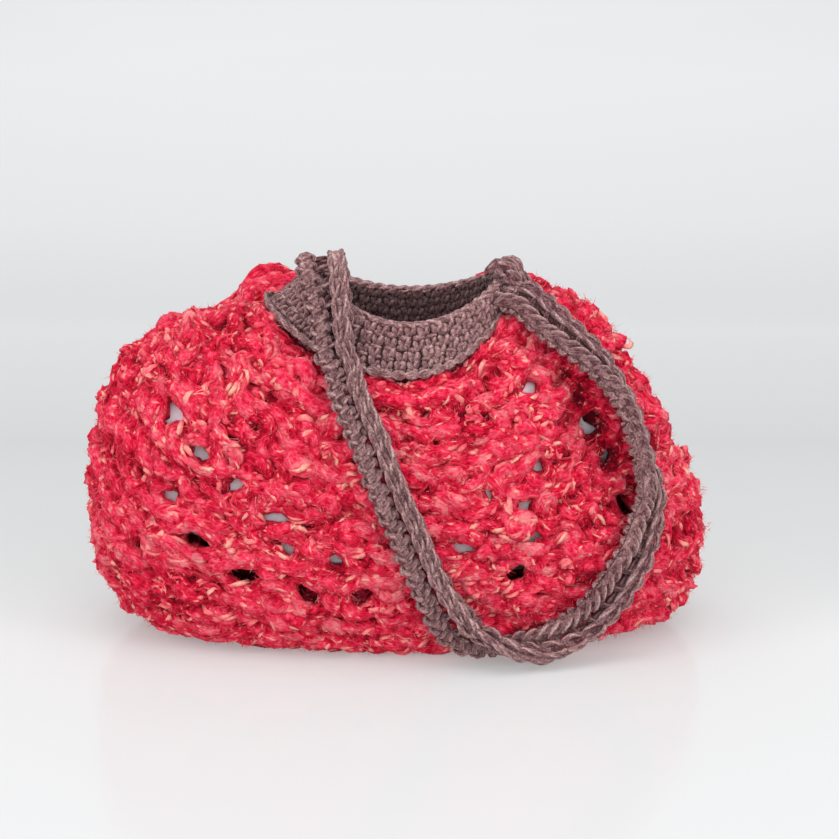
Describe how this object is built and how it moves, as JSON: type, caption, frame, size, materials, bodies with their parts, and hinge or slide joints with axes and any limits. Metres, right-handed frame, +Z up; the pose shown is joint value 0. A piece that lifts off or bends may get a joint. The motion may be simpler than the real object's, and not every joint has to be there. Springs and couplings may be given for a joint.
{
  "type": "crochet bag",
  "caption": "Soft crocheted shoulder bag with a plump open-work body, a ribbed collar round its mouth, a cloth lining and one flat ladder strap.",
  "frame": {"origin": "middle of the bag's footprint, on the surface that it stands on", "axes": "+Z up, +X along the bag's length to the right of someone facing its front, the front facing -Y"},
  "size_m": [0.3398, 0.1728, 0.2107],
  "materials": {
    "red_yarn": "matte fuzzy yarn",
    "brown_yarn": "matte plied yarn",
    "grey_cloth": "plain woven cloth"
  },
  "bodies": {
    "root": {"body": "red_yarn", "collar": "brown_yarn", "lining": "grey_cloth", "shoulder_strap": "brown_yarn"}
  },
  "joints": []
}
